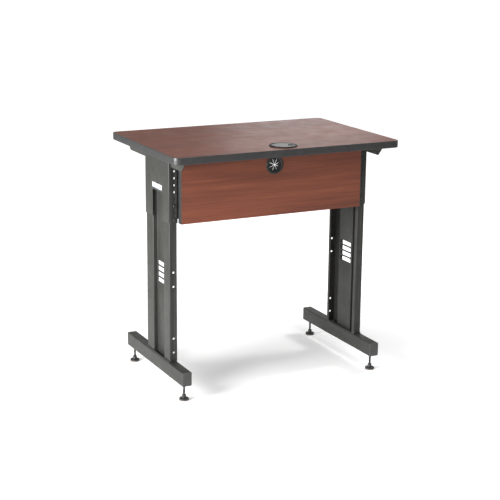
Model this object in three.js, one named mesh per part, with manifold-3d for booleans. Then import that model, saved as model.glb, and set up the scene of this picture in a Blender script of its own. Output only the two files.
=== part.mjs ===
// A height-adjustable training table with a modesty panel, in millimetres.
// +Z is up, X runs along the width, and -Y is the side with the panel, away from the user.
// The origin is on the floor, under the middle of the worktop.
import * as THREE from "three";
import { mergeVertices } from "three/addons/utils/BufferGeometryUtils.js";
import Module from "manifold-3d";

const wasm = await Module();
wasm.setup();

// ---- driving dimensions ----
const GAP = 0.3; // between pieces that touch
const TOP = { width: 914.4, depth: 609.6, thickness: 26.2, height: 910, corner: 25 };
const BAND = { thickness: 2.5, barbDepth: 7.3, barbHeight: 2 };
const PANEL = { halfWidth: 374.2, front: -166.8, back: -141.2, bottom: 639.2, endBand: 1.9 };
const DESK_GROMMET = { x: 2.6, y: -230, flangeRadius: 52, holeRadius: 40, capRadius: 43.4 };
const STAR_GROMMET = {
  x: 1.4, z: 829.5, flangeRadius: 35.5, holeRadius: 30,
  slits: 8, slitWidth: 1.3, slitEnd: 22, centreRadius: 3,
};
const BARREL_DEPTH = 22; // how far either grommet reaches into its board
const BEAM = { x: 396.9, width: 37.7, height: 52, bottom: 61, halfLength: 264.5, wall: 2.5, corner: 3.5 };
const END_CAP = { face: 2.2, plug: 14 };
const COLUMN = {
  outer: 410, inner: 379.5, front: -141, rear: 73, sheet: 2, lip: 16, // the folded section's outside
  webFace: 393.5, recessFront: -87, recessRear: 8.5, // the cable recess in its outer side
  bottom: 116.6, top: 741,
};
const WINDOW = { count: 4, length: 82, height: 16, pitch: 21.8, top: 471, corner: 4 };
const SLEEVE = {
  sheet: 2.3, clearance: 0.4, lip: 20, bottom: 641,
  slotFront: -85, slotRear: 5, slotTop: 743,
};
const HOLE = { x: 390, radius: 4, pitch: 25.4, count: 8, top: 831.5 };
const SPARE_HOLE = { x: 394, heights: [456.5, 402.5, 204.5, 150.5] };
const ARM = {
  halfTop: 271, halfBottom: 238, bottom: 847.7, inner: 381, outer: 404.8, sheet: 2.3,
  screwX: 391, screwY: 180,
};
const BRACKET = { sheet: 2.3, inner: 335, reach: 27, bottom: 655, top: 838, screwX: 350, screwInset: 32 };
const PLATE = { width: 34, thickness: 3, boltX: 395, boltRear: 40, boltFront: -114, boltHole: 4 };
const CABLE_OPENING = { inner: 395, outer: 407, front: -84, rear: 5.5 };
const LEVELLER = {
  y: 239, padRadius: 18.4, padHeight: 8.4, hubTop: 22, studRadius: 4, studBottom: 6, studTop: 73,
};
const WOOD_SCREW = { radius: 2, length: 16, headRadius: 4.4, headHeight: 2.4, socket: 3 };
const LABEL = { front: -82, rear: 5, bottom: 751.5, top: 769.3, thickness: 0.6 };

const underside = TOP.height - TOP.thickness;
const beamTop = BEAM.bottom + BEAM.height;
const sleeveOuter = COLUMN.outer + SLEEVE.clearance + SLEEVE.sheet;
const sleeveInner = COLUMN.inner - SLEEVE.clearance - SLEEVE.sheet;
const sleeveFront = COLUMN.front - SLEEVE.clearance - SLEEVE.sheet;
const sleeveRear = COLUMN.rear + SLEEVE.clearance + SLEEVE.sheet;
const boltHeights = [HOLE.top - 5 * HOLE.pitch, HOLE.top - 7 * HOLE.pitch];
const SIDES = { left: -1, right: 1 };
const FAR = 400; // half of a cutting prism that passes right through

// ---- materials ----
const finish = (color, roughness, metalness = 0) =>
  new THREE.MeshStandardMaterial({ color, roughness, metalness });
const laminate = finish("#8a5544", 0.45);
const steel = finish("#4d4d49", 0.5, 0.3);
const blackPlastic = finish("#2b2b2a", 0.5);
const edgePlastic = finish("#3c3d3c", 0.5);
const rubber = finish("#1c1c1c", 0.75);
const zinc = finish("#9a9a98", 0.35, 0.9);
const paper = finish("#dfe4ea", 0.5);

// ---- shapes and solids ----
function solid(geometry) {
  const bare = geometry.index ? geometry.toNonIndexed() : geometry.clone();
  bare.deleteAttribute("normal");
  bare.deleteAttribute("uv");
  const merged = mergeVertices(bare, 1e-4);
  return new wasm.Manifold(new wasm.Mesh({
    numProp: 3,
    vertProperties: Float32Array.from(merged.attributes.position.array),
    triVerts: Uint32Array.from(merged.index.array),
  }));
}

function geometryOf(manifold) {
  const mesh = manifold.getMesh();
  const geometry = new THREE.BufferGeometry();
  geometry.setAttribute("position", new THREE.BufferAttribute(mesh.vertProperties, 3));
  geometry.setIndex(new THREE.BufferAttribute(mesh.triVerts, 1));
  return geometry;
}

function cut(body, ...tools) {
  return geometryOf(tools.reduce((left, tool) => left.subtract(solid(tool)), solid(body)));
}

function join(...bodies) {
  return geometryOf(bodies.map(solid).reduce((sum, body) => sum.add(body)));
}

function polygon(points) {
  return new THREE.Shape(points.map(([x, y]) => new THREE.Vector2(x, y)));
}

function roundedRectangle(x0, y0, x1, y1, radius) {
  const shape = new THREE.Shape();
  const quarter = Math.PI / 2;
  shape.absarc(x1 - radius, y1 - radius, radius, 0, quarter);
  shape.absarc(x0 + radius, y1 - radius, radius, quarter, 2 * quarter);
  shape.absarc(x0 + radius, y0 + radius, radius, 2 * quarter, 3 * quarter);
  shape.absarc(x1 - radius, y0 + radius, radius, 3 * quarter, 4 * quarter);
  shape.closePath();
  return shape;
}

// The outline of a folded sheet: its middle line, its thickness, and the inside radius of its bends.
function foldedSheet(path, thickness, insideRadius, steps = 2) {
  const bend = insideRadius + thickness / 2;
  const left = [];
  const right = [];
  const add = (point, normal) => {
    left.push(point.clone().addScaledVector(normal, thickness / 2));
    right.push(point.clone().addScaledVector(normal, -thickness / 2));
  };
  const points = path.map(([x, y]) => new THREE.Vector2(x, y));
  const normalOf = (a, b) => new THREE.Vector2(a.y - b.y, b.x - a.x).normalize();
  add(points[0], normalOf(points[0], points[1]));
  for (let i = 1; i < points.length - 1; i += 1) {
    const before = points[i].clone().sub(points[i - 1]).normalize();
    const after = points[i + 1].clone().sub(points[i]).normalize();
    const turn = Math.atan2(before.cross(after), before.dot(after));
    const start = points[i].clone().addScaledVector(before, -bend * Math.tan(Math.abs(turn) / 2));
    const normal = normalOf(points[i - 1], points[i]);
    const centre = start.clone().addScaledVector(normal, Math.sign(turn) * bend);
    for (let k = 0; k <= steps; k += 1) {
      const turned = normal.clone().rotateAround(new THREE.Vector2(), (turn * k) / steps);
      add(centre.clone().addScaledVector(turned, -Math.sign(turn) * bend), turned);
    }
  }
  const last = points.length - 1;
  add(points[last], normalOf(points[last - 1], points[last]));
  return new THREE.Shape([...left, ...right.reverse()]);
}

const CORNER_STEPS = 1; // a small rounded corner has twice this many flats
const TOP_CORNER_STEPS = 4;
const extrusion = { curveSegments: CORNER_STEPS, bevelEnabled: false };

// An outline in X and Y, extruded up from z0 to z1.
function upright(shape, z0, z1, curveSegments = CORNER_STEPS) {
  const geometry = new THREE.ExtrudeGeometry(shape, { ...extrusion, curveSegments, depth: z1 - z0 });
  return geometry.translate(0, 0, z0);
}

// An outline in X and Z, extruded along Y from y0 to y1.
function alongY(shape, y0, y1) {
  const geometry = new THREE.ExtrudeGeometry(shape, { ...extrusion, depth: y1 - y0 });
  return geometry.rotateX(Math.PI / 2).translate(0, y1, 0);
}

// An outline in Y and Z, extruded along X from x0 to x1.
function alongX(shape, x0, x1) {
  const [low, high] = [Math.min(x0, x1), Math.max(x0, x1)];
  const geometry = new THREE.ExtrudeGeometry(shape, { ...extrusion, depth: high - low });
  return geometry.rotateX(Math.PI / 2).rotateZ(Math.PI / 2).translate(low, 0, 0);
}

function box(x0, x1, y0, y1, z0, z1) {
  const geometry = new THREE.BoxGeometry(Math.abs(x1 - x0), Math.abs(y1 - y0), Math.abs(z1 - z0));
  return geometry.translate((x0 + x1) / 2, (y0 + y1) / 2, (z0 + z1) / 2);
}

// A cylinder on the Z axis, from z0 to z1.
function rod(radius, z0, z1, sides = 10) {
  const geometry = new THREE.CylinderGeometry(radius, radius, z1 - z0, sides).rotateX(Math.PI / 2);
  return geometry.translate(0, 0, (z0 + z1) / 2);
}

// A turned shape on the Z axis, from its [radius, z] points.
function turned(points, sides) {
  return new THREE.LatheGeometry(points.map(([r, z]) => new THREE.Vector2(r, z)), sides).rotateX(Math.PI / 2);
}

const group = new THREE.Group();
function place(name, geometry, material, position = [0, 0, 0], rotation = [0, 0, 0]) {
  const mesh = new THREE.Mesh(geometry, material);
  mesh.name = name;
  mesh.position.set(...position);
  mesh.rotation.set(...rotation);
  group.add(mesh);
}

// ---- fasteners, each with its axis on Z and its head on top, the head's seat at z = 0 ----
function capScrew(shankRadius, length, headRadius, headHeight, socketAcross) {
  const edge = headHeight * 0.45;
  const body = turned([
    [0, -length], [shankRadius, -length], [shankRadius, 0], [headRadius, 0],
    [headRadius, headHeight - edge], [headRadius * 0.72, headHeight], [0, headHeight],
  ], 10);
  return cut(body, rod(socketAcross / Math.sqrt(3), headHeight * 0.35, headHeight + 1, 6));
}

const heightBolt = capScrew(3.3, SLEEVE.sheet, 6.2, 3.4, 4.5);
const baseBolt = capScrew(3.6, 14, 7, 4.5, 6);
const woodScrew = capScrew(
  WOOD_SCREW.radius, WOOD_SCREW.length, WOOD_SCREW.headRadius, WOOD_SCREW.headHeight, WOOD_SCREW.socket,
);

// ---- the worktop ----
function inset(distance) {
  const x = TOP.width / 2 - distance;
  const y = TOP.depth / 2 - distance;
  return roundedRectangle(-x, -y, x, y, TOP.corner - distance);
}

function frameShape(outerInset, innerInset) {
  const shape = inset(outerInset);
  shape.holes.push(new THREE.Path(inset(innerInset).getPoints(TOP_CORNER_STEPS)));
  return shape;
}

function makeWorktop() {
  const middle = underside + TOP.thickness / 2;
  const barb = BAND.barbHeight / 2;
  const groove = barb + GAP;
  const barbEnd = BAND.thickness + BAND.barbDepth;
  const pilots = [];
  for (const side of Object.values(SIDES)) {
    for (const y of [-ARM.screwY, ARM.screwY]) {
      const pilot = rod(WOOD_SCREW.radius + GAP, underside - 1, underside + WOOD_SCREW.length);
      pilots.push(pilot.translate(side * ARM.screwX, y, 0));
    }
  }
  const grooveShape = frameShape(BAND.thickness - 0.5, barbEnd + GAP);
  const hole = rod(DESK_GROMMET.holeRadius, underside - 1, TOP.height + 1, 40);
  place("worktop", cut(
    upright(inset(BAND.thickness + GAP), underside, TOP.height, TOP_CORNER_STEPS),
    upright(grooveShape, middle - groove, middle + groove, TOP_CORNER_STEPS),
    hole.translate(DESK_GROMMET.x, DESK_GROMMET.y, 0),
    ...pilots,
  ), laminate);
  place("worktop_edge_band", join(
    upright(frameShape(0, BAND.thickness), underside, TOP.height, TOP_CORNER_STEPS),
    upright(frameShape(BAND.thickness - 0.1, barbEnd), middle - barb, middle + barb, TOP_CORNER_STEPS),
  ), edgePlastic);
}

// The liner stands in the worktop's hole on its flange. The cap drops inside its rim and turns there.
function makeDeskGrommet() {
  const { flangeRadius, holeRadius, capRadius, x, y } = DESK_GROMMET;
  const barrel = holeRadius - GAP;
  const bore = barrel - 2.4;
  const liner = turned([
    [bore, -BARREL_DEPTH], [barrel, -BARREL_DEPTH], [barrel, GAP], [flangeRadius, GAP],
    [flangeRadius - 0.3, 1.4], [flangeRadius - 2, 2.8], [flangeRadius - 4.5, 3.4],
    [capRadius + 0.6, 3.1], [capRadius + 0.4, 1.2], [bore, 1.2], [bore, -BARREL_DEPTH],
  ], 32);
  place("desk_grommet_liner", liner, blackPlastic, [x, y, TOP.height]);
  const skirt = bore - 0.5;
  const cap = turned([
    [0, 1.5], [skirt - 1.8, 1.5], [skirt - 1.8, -8], [skirt, -8], [skirt, 1.5], [capRadius, 1.5],
    [capRadius, 2.4], [capRadius - 1.2, 3.2], [capRadius - 4, 3.0], [capRadius - 9, 2.8], [0, 2.8],
  ], 32);
  const notch = roundedRectangle(capRadius - 27, -11, bore, 11, 4);
  const open = cut(cap, upright(notch, -10, 10));
  place("desk_grommet_cap", open, blackPlastic, [x, y, TOP.height], [0, 0, -0.35]);
}

// ---- the modesty panel ----
function makePanel() {
  const { halfWidth, front, back, bottom, endBand } = PANEL;
  const core = halfWidth - endBand - GAP;
  const top = underside - GAP;
  const hole = rod(STAR_GROMMET.holeRadius, -20, 20, 40).rotateX(Math.PI / 2);
  const pilots = [];
  for (const side of Object.values(SIDES)) {
    for (const z of [BRACKET.bottom + BRACKET.screwInset, BRACKET.top - BRACKET.screwInset]) {
      const pilot = rod(WOOD_SCREW.radius + GAP, -1, WOOD_SCREW.length).rotateX(Math.PI / 2);
      pilots.push(pilot.translate(side * BRACKET.screwX, back, z));
    }
  }
  place("modesty_panel", cut(
    box(-core, core, front, back, bottom, top),
    hole.translate(STAR_GROMMET.x, (front + back) / 2, STAR_GROMMET.z),
    ...pilots,
  ), laminate);
  for (const [sideName, side] of Object.entries(SIDES)) {
    const band = box(side * (halfWidth - endBand), side * halfWidth, front, back, bottom, top);
    place(`panel_end_band_${sideName}`, band, edgePlastic);
  }
}

// A ring through the panel, and a rubber disc cut into petals that cables push through.
function makeStarGrommet() {
  const { flangeRadius, holeRadius, slits, slitWidth, slitEnd, centreRadius, x, z } = STAR_GROMMET;
  const barrel = holeRadius - GAP;
  const bore = barrel - 2;
  const outwards = [Math.PI / 2, 0, 0]; // the grommet's own +Z faces -Y, away from the panel
  const ring = turned([
    [bore, -BARREL_DEPTH], [barrel, -BARREL_DEPTH], [barrel, GAP], [flangeRadius, GAP],
    [flangeRadius - 0.4, 1.6], [flangeRadius - 2.2, 2.7], [bore + 1.6, 2.7], [bore - 1.4, 1.6],
    [bore - 1.4, 0.6], [bore, 0.6], [bore, -BARREL_DEPTH],
  ], 28);
  place("panel_grommet_ring", ring, blackPlastic, [x, PANEL.front, z], outwards);
  const tools = [rod(centreRadius, -5, 5)];
  for (let i = 0; i < slits; i += 1) {
    const slit = box(0, slitEnd, -slitWidth / 2, slitWidth / 2, -5, 5);
    tools.push(slit.rotateZ(((i + 0.5) * 2 * Math.PI) / slits));
  }
  const disc = turned([[0, -1.6], [bore - GAP, -1.6], [bore - GAP, 0.3], [0, 0.3]], 28);
  place("panel_grommet_diaphragm", cut(disc, ...tools), rubber, [x, PANEL.front, z], outwards);
}

// ---- one leg: side is -1 on the left and 1 on the right ----
function section(side, path, thickness, insideRadius) {
  return foldedSheet(path.map(([x, y]) => [side * x, y]), thickness, insideRadius);
}

// Holes through a section's front and rear faces only.
function flangeHoles(side, x, front, rear, heights) {
  const through = (y, z) => rod(HOLE.radius, -8, 8).rotateX(Math.PI / 2).translate(side * x, y, z);
  return heights.flatMap((z) => [through(front, z), through(rear, z)]);
}

function makeFootBeam(name, side) {
  const { x, width, height, bottom, halfLength, wall, corner } = BEAM;
  const [low, high] = [side * x - width / 2, side * x + width / 2];
  const tube = roundedRectangle(low, bottom, high, bottom + height, corner);
  const top = bottom + height;
  const bore = roundedRectangle(low + wall, bottom + wall, high - wall, top - wall, corner - wall);
  tube.holes.push(new THREE.Path(bore.getPoints(CORNER_STEPS)));
  const { inner, outer, front, rear } = CABLE_OPENING;
  const tools = [box(side * inner, side * outer, front, rear, beamTop - 10, beamTop + 10)];
  for (const y of [PLATE.boltFront, PLATE.boltRear]) {
    tools.push(rod(PLATE.boltHole, beamTop - 10, beamTop + 10).translate(side * PLATE.boltX, y, 0));
  }
  for (const y of [-LEVELLER.y, LEVELLER.y]) {
    tools.push(rod(5.5, bottom - 10, bottom + 10).translate(side * x, y, 0));
  }
  place(`foot_beam_${name}`, cut(alongY(tube, -halfLength, halfLength), ...tools), steel);

  for (const [end, direction] of [["front", -1], ["rear", 1]]) {
    const faceStart = halfLength + GAP;
    const face = alongY(roundedRectangle(low, bottom, high, bottom + height, corner), 0, END_CAP.face);
    const clear = wall + GAP;
    const rim = roundedRectangle(low + clear, bottom + clear, high - clear, top - clear, 1);
    const hollow = clear + 2.5;
    const inside = roundedRectangle(low + hollow, bottom + hollow, high - hollow, top - hollow, 0.5);
    rim.holes.push(new THREE.Path(inside.getPoints(CORNER_STEPS)));
    const plug = alongY(rim, 0, END_CAP.plug + 0.5);
    const faceAt = direction > 0 ? faceStart : -faceStart - END_CAP.face;
    const plugAt = direction > 0 ? faceStart - END_CAP.plug : -faceStart - 0.5;
    const cap = join(face.translate(0, faceAt, 0), plug.translate(0, plugAt, 0));
    place(`beam_cap_${end}_${name}`, cap, blackPlastic);
  }
}

function makeLowerColumn(name, side) {
  const { outer, inner, front, rear, sheet, lip, bottom, top } = COLUMN;
  const { webFace, recessFront, recessRear } = COLUMN;
  const half = sheet / 2;
  const path = [
    [inner + half, rear - lip], [inner + half, rear - half], [outer - half, rear - half],
    [outer - half, recessRear + half], [webFace - half, recessRear + half],
    [webFace - half, recessFront - half], [outer - half, recessFront - half],
    [outer - half, front + half], [inner + half, front + half], [inner + half, front + lip],
  ];
  const middle = (recessFront + recessRear) / 2;
  const windows = [];
  for (let i = 0; i < WINDOW.count; i += 1) {
    const high = WINDOW.top - i * WINDOW.pitch;
    const [start, end] = [middle - WINDOW.length / 2, middle + WINDOW.length / 2];
    const shape = roundedRectangle(start, high - WINDOW.height, end, high, WINDOW.corner);
    windows.push(alongX(shape, side * (webFace + 5), side * (webFace - 7)));
  }
  const holes = [
    ...flangeHoles(side, HOLE.x, front, rear, boltHeights),
    ...flangeHoles(side, SPARE_HOLE.x, front, rear, SPARE_HOLE.heights),
  ];
  const column = upright(section(side, path, sheet, 1.5), bottom, top);
  place(`lower_column_${name}`, cut(column, ...windows, ...holes), steel);

  const centre = (front + rear) / 2;
  const reach = (rear - front) / 2;
  const outline = roundedRectangle(
    side * BEAM.x - PLATE.width / 2, centre - reach, side * BEAM.x + PLATE.width / 2, centre + reach, 3,
  );
  const opening = CABLE_OPENING;
  const [plateBottom, plateTop] = [beamTop + GAP, beamTop + GAP + PLATE.thickness];
  const [below, above] = [plateBottom - 5, plateTop + 5];
  const tools = [box(side * opening.inner, side * opening.outer, opening.front, opening.rear, below, above)];
  for (const y of [PLATE.boltFront, PLATE.boltRear]) {
    tools.push(rod(PLATE.boltHole, below, above).translate(side * PLATE.boltX, y, 0));
  }
  place(`column_base_plate_${name}`, cut(upright(outline, plateBottom, plateTop), ...tools), steel);
  for (const [end, y] of [["front", PLATE.boltFront], ["rear", PLATE.boltRear]]) {
    place(`base_bolt_${end}_${name}`, baseBolt, zinc, [side * PLATE.boltX, y, plateTop + GAP]);
  }
}

function makeUpperColumn(name, side) {
  const half = SLEEVE.sheet / 2;
  const [outer, inner] = [sleeveOuter - half, sleeveInner + half];
  const [front, rear] = [sleeveFront + half, sleeveRear - half];
  const path = [
    [inner, sleeveRear - SLEEVE.lip], [inner, rear], [outer, rear], [outer, front], [inner, front],
    [inner, sleeveFront + SLEEVE.lip],
  ];
  const slot = roundedRectangle(SLEEVE.slotFront, SLEEVE.bottom - 20, SLEEVE.slotRear, SLEEVE.slotTop, 4);
  const heights = Array.from({ length: HOLE.count }, (_, k) => HOLE.top - k * HOLE.pitch);
  const armSpace = box(
    side * (sleeveInner - 5), side * (ARM.outer + GAP), -FAR, FAR, ARM.bottom - GAP, TOP.height,
  );
  place(`upper_column_${name}`, cut(
    upright(section(side, path, SLEEVE.sheet, 1.2), SLEEVE.bottom, underside - GAP),
    alongX(slot, side * (sleeveOuter + 5), side * (sleeveOuter - 8)),
    ...flangeHoles(side, HOLE.x, sleeveFront, sleeveRear, heights),
    armSpace,
  ), steel);

  for (const [end, direction] of [["front", -1], ["rear", 1]]) {
    const seat = direction < 0 ? sleeveFront - GAP : sleeveRear + GAP;
    for (const [level, z] of [["upper", boltHeights[0]], ["lower", boltHeights[1]]]) {
      const turn = [(-direction * Math.PI) / 2, 0, 0];
      place(`height_bolt_${end}_${level}_${name}`, heightBolt, zinc, [side * HOLE.x, seat, z], turn);
    }
  }
}

// An angle with its flange on top, towards the middle of the table, that carries the worktop.
function makeSupportArm(name, side) {
  const half = ARM.sheet / 2;
  const top = underside - GAP;
  const path = [[ARM.inner, top - half], [ARM.outer - half, top - half], [ARM.outer - half, ARM.bottom]];
  const slope = (ARM.halfTop - ARM.halfBottom) / (top - ARM.bottom);
  const tools = [];
  for (const direction of [-1, 1]) {
    const wedge = polygon([
      [direction * (ARM.halfBottom - slope), ARM.bottom - 1], [direction * FAR, ARM.bottom - 1],
      [direction * FAR, top + 1], [direction * (ARM.halfTop + slope), top + 1],
    ]);
    tools.push(alongX(wedge, side * (ARM.inner - 5), side * (ARM.outer + 5)));
  }
  for (const y of [-ARM.screwY, ARM.screwY]) {
    tools.push(rod(WOOD_SCREW.radius + 2 * GAP, top - 5, top + 5).translate(side * ARM.screwX, y, 0));
  }
  const angle = alongY(section(side, path, ARM.sheet, 1.5), -ARM.halfTop, ARM.halfTop);
  place(`support_arm_${name}`, cut(angle, ...tools), steel);
  for (const [end, y] of [["front", -ARM.screwY], ["rear", ARM.screwY]]) {
    const seat = top - ARM.sheet - GAP;
    place(`arm_screw_${end}_${name}`, woodScrew, zinc, [side * ARM.screwX, y, seat], [Math.PI, 0, 0]);
  }
}

// An angle welded to the upper column's lip, and screwed to the panel's back.
function makePanelBracket(name, side) {
  const half = BRACKET.sheet / 2;
  const lipFace = sleeveInner - GAP;
  const panelFace = PANEL.back + GAP;
  const path = [
    [lipFace - half, panelFace + BRACKET.reach], [lipFace - half, panelFace + half],
    [BRACKET.inner, panelFace + half],
  ];
  const heights = { lower: BRACKET.bottom + BRACKET.screwInset, upper: BRACKET.top - BRACKET.screwInset };
  const tools = Object.values(heights).map((z) => {
    const hole = rod(WOOD_SCREW.radius + 2 * GAP, -10, 10).rotateX(Math.PI / 2);
    return hole.translate(side * BRACKET.screwX, PANEL.back, z);
  });
  const angle = upright(section(side, path, BRACKET.sheet, 1.5), BRACKET.bottom, BRACKET.top);
  place(`panel_bracket_${name}`, cut(angle, ...tools), steel);
  for (const [level, z] of Object.entries(heights)) {
    const at = [side * BRACKET.screwX, panelFace + BRACKET.sheet + GAP, z];
    place(`panel_screw_${level}_${name}`, woodScrew, zinc, at, [-Math.PI / 2, 0, 0]);
  }
}

// A swivel pad, a stud that turns in it, and the nut in the beam that the stud climbs.
function makeLeveller(name, side, end, y) {
  const { padRadius, padHeight, hubTop, studRadius, studBottom, studTop } = LEVELLER;
  const socket = studRadius + 0.35;
  const pad = turned([
    [0, 0], [padRadius - 0.8, 0], [padRadius, 0.8], [padRadius, 3.4], [padRadius - 0.7, 3.8],
    [padRadius - 0.7, padHeight - 1], [padRadius - 1.8, padHeight], [9.5, padHeight + 1.2],
    [6.6, hubTop], [socket, hubTop], [socket, studBottom], [0, studBottom],
  ], 16);
  const at = [side * BEAM.x, y, 0];
  place(`leveller_pad_${end}_${name}`, pad, blackPlastic, at);
  place(`leveller_stud_${end}_${name}`, rod(studRadius, studBottom + GAP, studTop, 12), blackPlastic, at);
  const seat = BEAM.bottom + BEAM.wall + GAP;
  const nut = cut(rod(9, seat, seat + 8, 6), rod(studRadius + 0.5, seat - 1, seat + 9, 12));
  place(`leveller_nut_${end}_${name}`, nut, zinc, at);
}

makeWorktop();
makeDeskGrommet();
makePanel();
makeStarGrommet();
for (const [name, side] of Object.entries(SIDES)) {
  makeFootBeam(name, side);
  makeLowerColumn(name, side);
  makeUpperColumn(name, side);
  makeSupportArm(name, side);
  makePanelBracket(name, side);
  makeLeveller(name, side, "front", -LEVELLER.y);
  makeLeveller(name, side, "rear", LEVELLER.y);
}
// A blank sticker over the slot of the left upper column.
const labelFace = -sleeveOuter - GAP;
place("height_label", box(
  labelFace - LABEL.thickness, labelFace, LABEL.front, LABEL.rear, LABEL.bottom, LABEL.top,
), paper);

export default group;
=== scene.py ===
# %% [markdown]
# # A height-adjustable training table
# A laminate top stands on two telescoping steel legs. The worktop, the legs, the holes and every joint come
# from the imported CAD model, in metres, with the floor at z = 0 and the modesty panel on the -Y side. This
# script gives each piece the finish of the real one, and makes a finer mesh where the CAD mesh is plain.

# %% Load the frame
import math

import bmesh
import bpy
from mathutils import Matrix, Vector


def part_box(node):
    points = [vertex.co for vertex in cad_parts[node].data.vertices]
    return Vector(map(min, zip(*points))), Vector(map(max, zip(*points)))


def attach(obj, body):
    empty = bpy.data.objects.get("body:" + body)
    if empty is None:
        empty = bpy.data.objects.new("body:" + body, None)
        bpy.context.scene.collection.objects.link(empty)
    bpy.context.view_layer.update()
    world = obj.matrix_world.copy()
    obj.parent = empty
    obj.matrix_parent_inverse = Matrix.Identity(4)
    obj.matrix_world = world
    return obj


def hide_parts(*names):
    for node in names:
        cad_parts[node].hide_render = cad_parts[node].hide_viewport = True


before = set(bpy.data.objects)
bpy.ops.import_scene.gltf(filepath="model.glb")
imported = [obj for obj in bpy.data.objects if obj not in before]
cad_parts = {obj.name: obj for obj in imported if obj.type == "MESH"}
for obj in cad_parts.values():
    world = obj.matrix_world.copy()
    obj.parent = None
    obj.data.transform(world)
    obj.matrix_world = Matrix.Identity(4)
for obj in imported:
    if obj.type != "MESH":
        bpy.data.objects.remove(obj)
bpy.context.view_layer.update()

MM = 0.001
UP = Vector((0, 0, 1))
SIDES = {"left": -1, "right": 1}
ENDS = {"front": -1, "rear": 1}

# %% [markdown]
# ## The camera
# A product picture is taken from far away with a long lens, so that the upright lines stay nearly parallel.
# The view is set by an azimuth, an elevation, a small roll and a distance, and a matrix built from its three
# axes says exactly which way the camera looks. A Track To constraint could aim it, but it could not roll it.

# %% Place the camera
AZIMUTH, ELEVATION, ROLL = math.radians(-26.881), math.radians(14.482), math.radians(0.595)
DISTANCE = 5.099
AIM = Vector((0, 0, 0.45))
SLIDE_X, SLIDE_Y = -0.0106, 0.0157
FOCAL_WIDTHS = 2.644  # the focal length in picture widths

back = Vector((
    math.sin(AZIMUTH) * math.cos(ELEVATION), -math.cos(AZIMUTH) * math.cos(ELEVATION), math.sin(ELEVATION),
))
level_x = UP.cross(back).normalized()
level_y = back.cross(level_x)
camera_x = level_x * math.cos(ROLL) + level_y * math.sin(ROLL)
camera_y = level_y * math.cos(ROLL) - level_x * math.sin(ROLL)
lens = bpy.data.cameras.new("camera")
lens.sensor_width = 36
lens.lens = FOCAL_WIDTHS * lens.sensor_width
camera = bpy.data.objects.new("camera", lens)
bpy.context.scene.collection.objects.link(camera)
place = Matrix((camera_x, camera_y, back)).transposed().to_4x4()
place.translation = AIM + back * DISTANCE + level_x * SLIDE_X + level_y * SLIDE_Y
camera.matrix_world = place
bpy.context.scene.camera = camera
print("camera at", [round(v, 3) for v in place.translation], "lens", round(lens.lens, 1), "mm")

# %% [markdown]
# ## The lights
# Four soft lights shape the table. The strong one on the left makes the outer faces of the legs bright, as
# a window would. One high in front lights the panel and leaves shade under the worktop's overhang. One high
# on the right gives the foot beams their shadows. A card behind puts the grey sheen on the far half of the
# worktop. The camera doesn't see the lamps themselves, so they can stand inside the picture.

# %% Lights
scene = bpy.context.scene
scene.view_settings.view_transform = "Standard"


def area_light(name, position, aim, size, watts):
    data = bpy.data.lights.new(name, "AREA")
    data.shape = "DISK"
    data.size = size
    data.energy = watts
    light = bpy.data.objects.new(name, data)
    light.location = position
    light.visible_camera = False
    light.rotation_euler = (Vector(aim) - Vector(position)).to_track_quat("-Z", "Y").to_euler()
    scene.collection.objects.link(light)


area_light("key_left", (-2.95, -0.6, 1.2), (0, 0, 0.5), 1.6, 185)
area_light("front_high", (0.2, -2.3, 2.6), (0, 0, 0.7), 0.8, 30)
area_light("right_high", (2.2, 0.1, 2.4), (0, 0, 0.2), 0.8, 34)
area_light("rear_card", (1.5, 2.3, 1.4), (0.2, 0, 0.9), 1.0, 3.6)

# %% [markdown]
# ## Helpers for node trees
# Materials and Geometry Nodes trees are both made of nodes, so one small function serves both. It makes a
# node, sets its options, gives a colour ramp its stops, and fills its inputs: a socket given as a value
# becomes a link. Colours are written as the hex values that a paint chart would give, and turned linear
# once, because Blender mixes linear light. Two steps that most finishes share, an uneven value and a grain,
# are built on it.


# %% Node and colour helpers
def add(tree, kind, options=None, stops=(), **inputs):
    node = tree.nodes.new(kind)
    for key, value in (options or {}).items():
        setattr(node, key, value)
    for i, (position, colour) in enumerate(stops):
        elements = node.color_ramp.elements
        element = elements[i] if i < 2 else elements.new(position)
        element.position = position
        element.color = linear(colour)
    for key, value in inputs.items():
        name = key.replace("_", " ")
        socket = node.inputs[int(key[1:])] if key[0] == "i" and key[1:].isdigit() else node.inputs[name]
        if isinstance(value, bpy.types.NodeSocket):
            tree.links.new(value, socket)
        else:
            socket.default_value = value
    return node


def linear(hex_colour):
    channels = [int(hex_colour[i:i + 2], 16) / 255 for i in (1, 3, 5)]
    return [c / 12.92 if c <= 0.04045 else ((c + 0.055) / 1.055) ** 2.4 for c in channels] + [1]


def new_material(name, **values):
    """A material with one Principled shader, whose uniform values are set here, with its tree and shader."""
    material = bpy.data.materials.new(name)
    material.use_nodes = True
    tree = material.node_tree
    tree.nodes.clear()
    shader = add(tree, "ShaderNodeBsdfPrincipled", None, **values)
    output = add(tree, "ShaderNodeOutputMaterial")
    tree.links.new(shader.outputs["BSDF"], output.inputs["Surface"])
    return material, tree, shader


def object_noise(tree, per_mm, detail=4, roughness=0.5, stretch=(1, 1, 1)):
    """Noise on Object coordinates, with per_mm features to a millimetre, slower along a stretched axis."""
    scale = [per_mm / MM * factor for factor in stretch]
    position = add(tree, "ShaderNodeTexCoord").outputs["Object"]
    mapped = add(tree, "ShaderNodeMapping", None, Vector=position, Scale=scale)
    noise = add(tree, "ShaderNodeTexNoise", None,
                Vector=mapped.outputs["Vector"], Scale=1, Detail=detail, Roughness=roughness)
    return noise.outputs["Fac"]


NOISE_LOW, NOISE_HIGH = 0.3, 0.7  # most of a noise lies between these values


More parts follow.
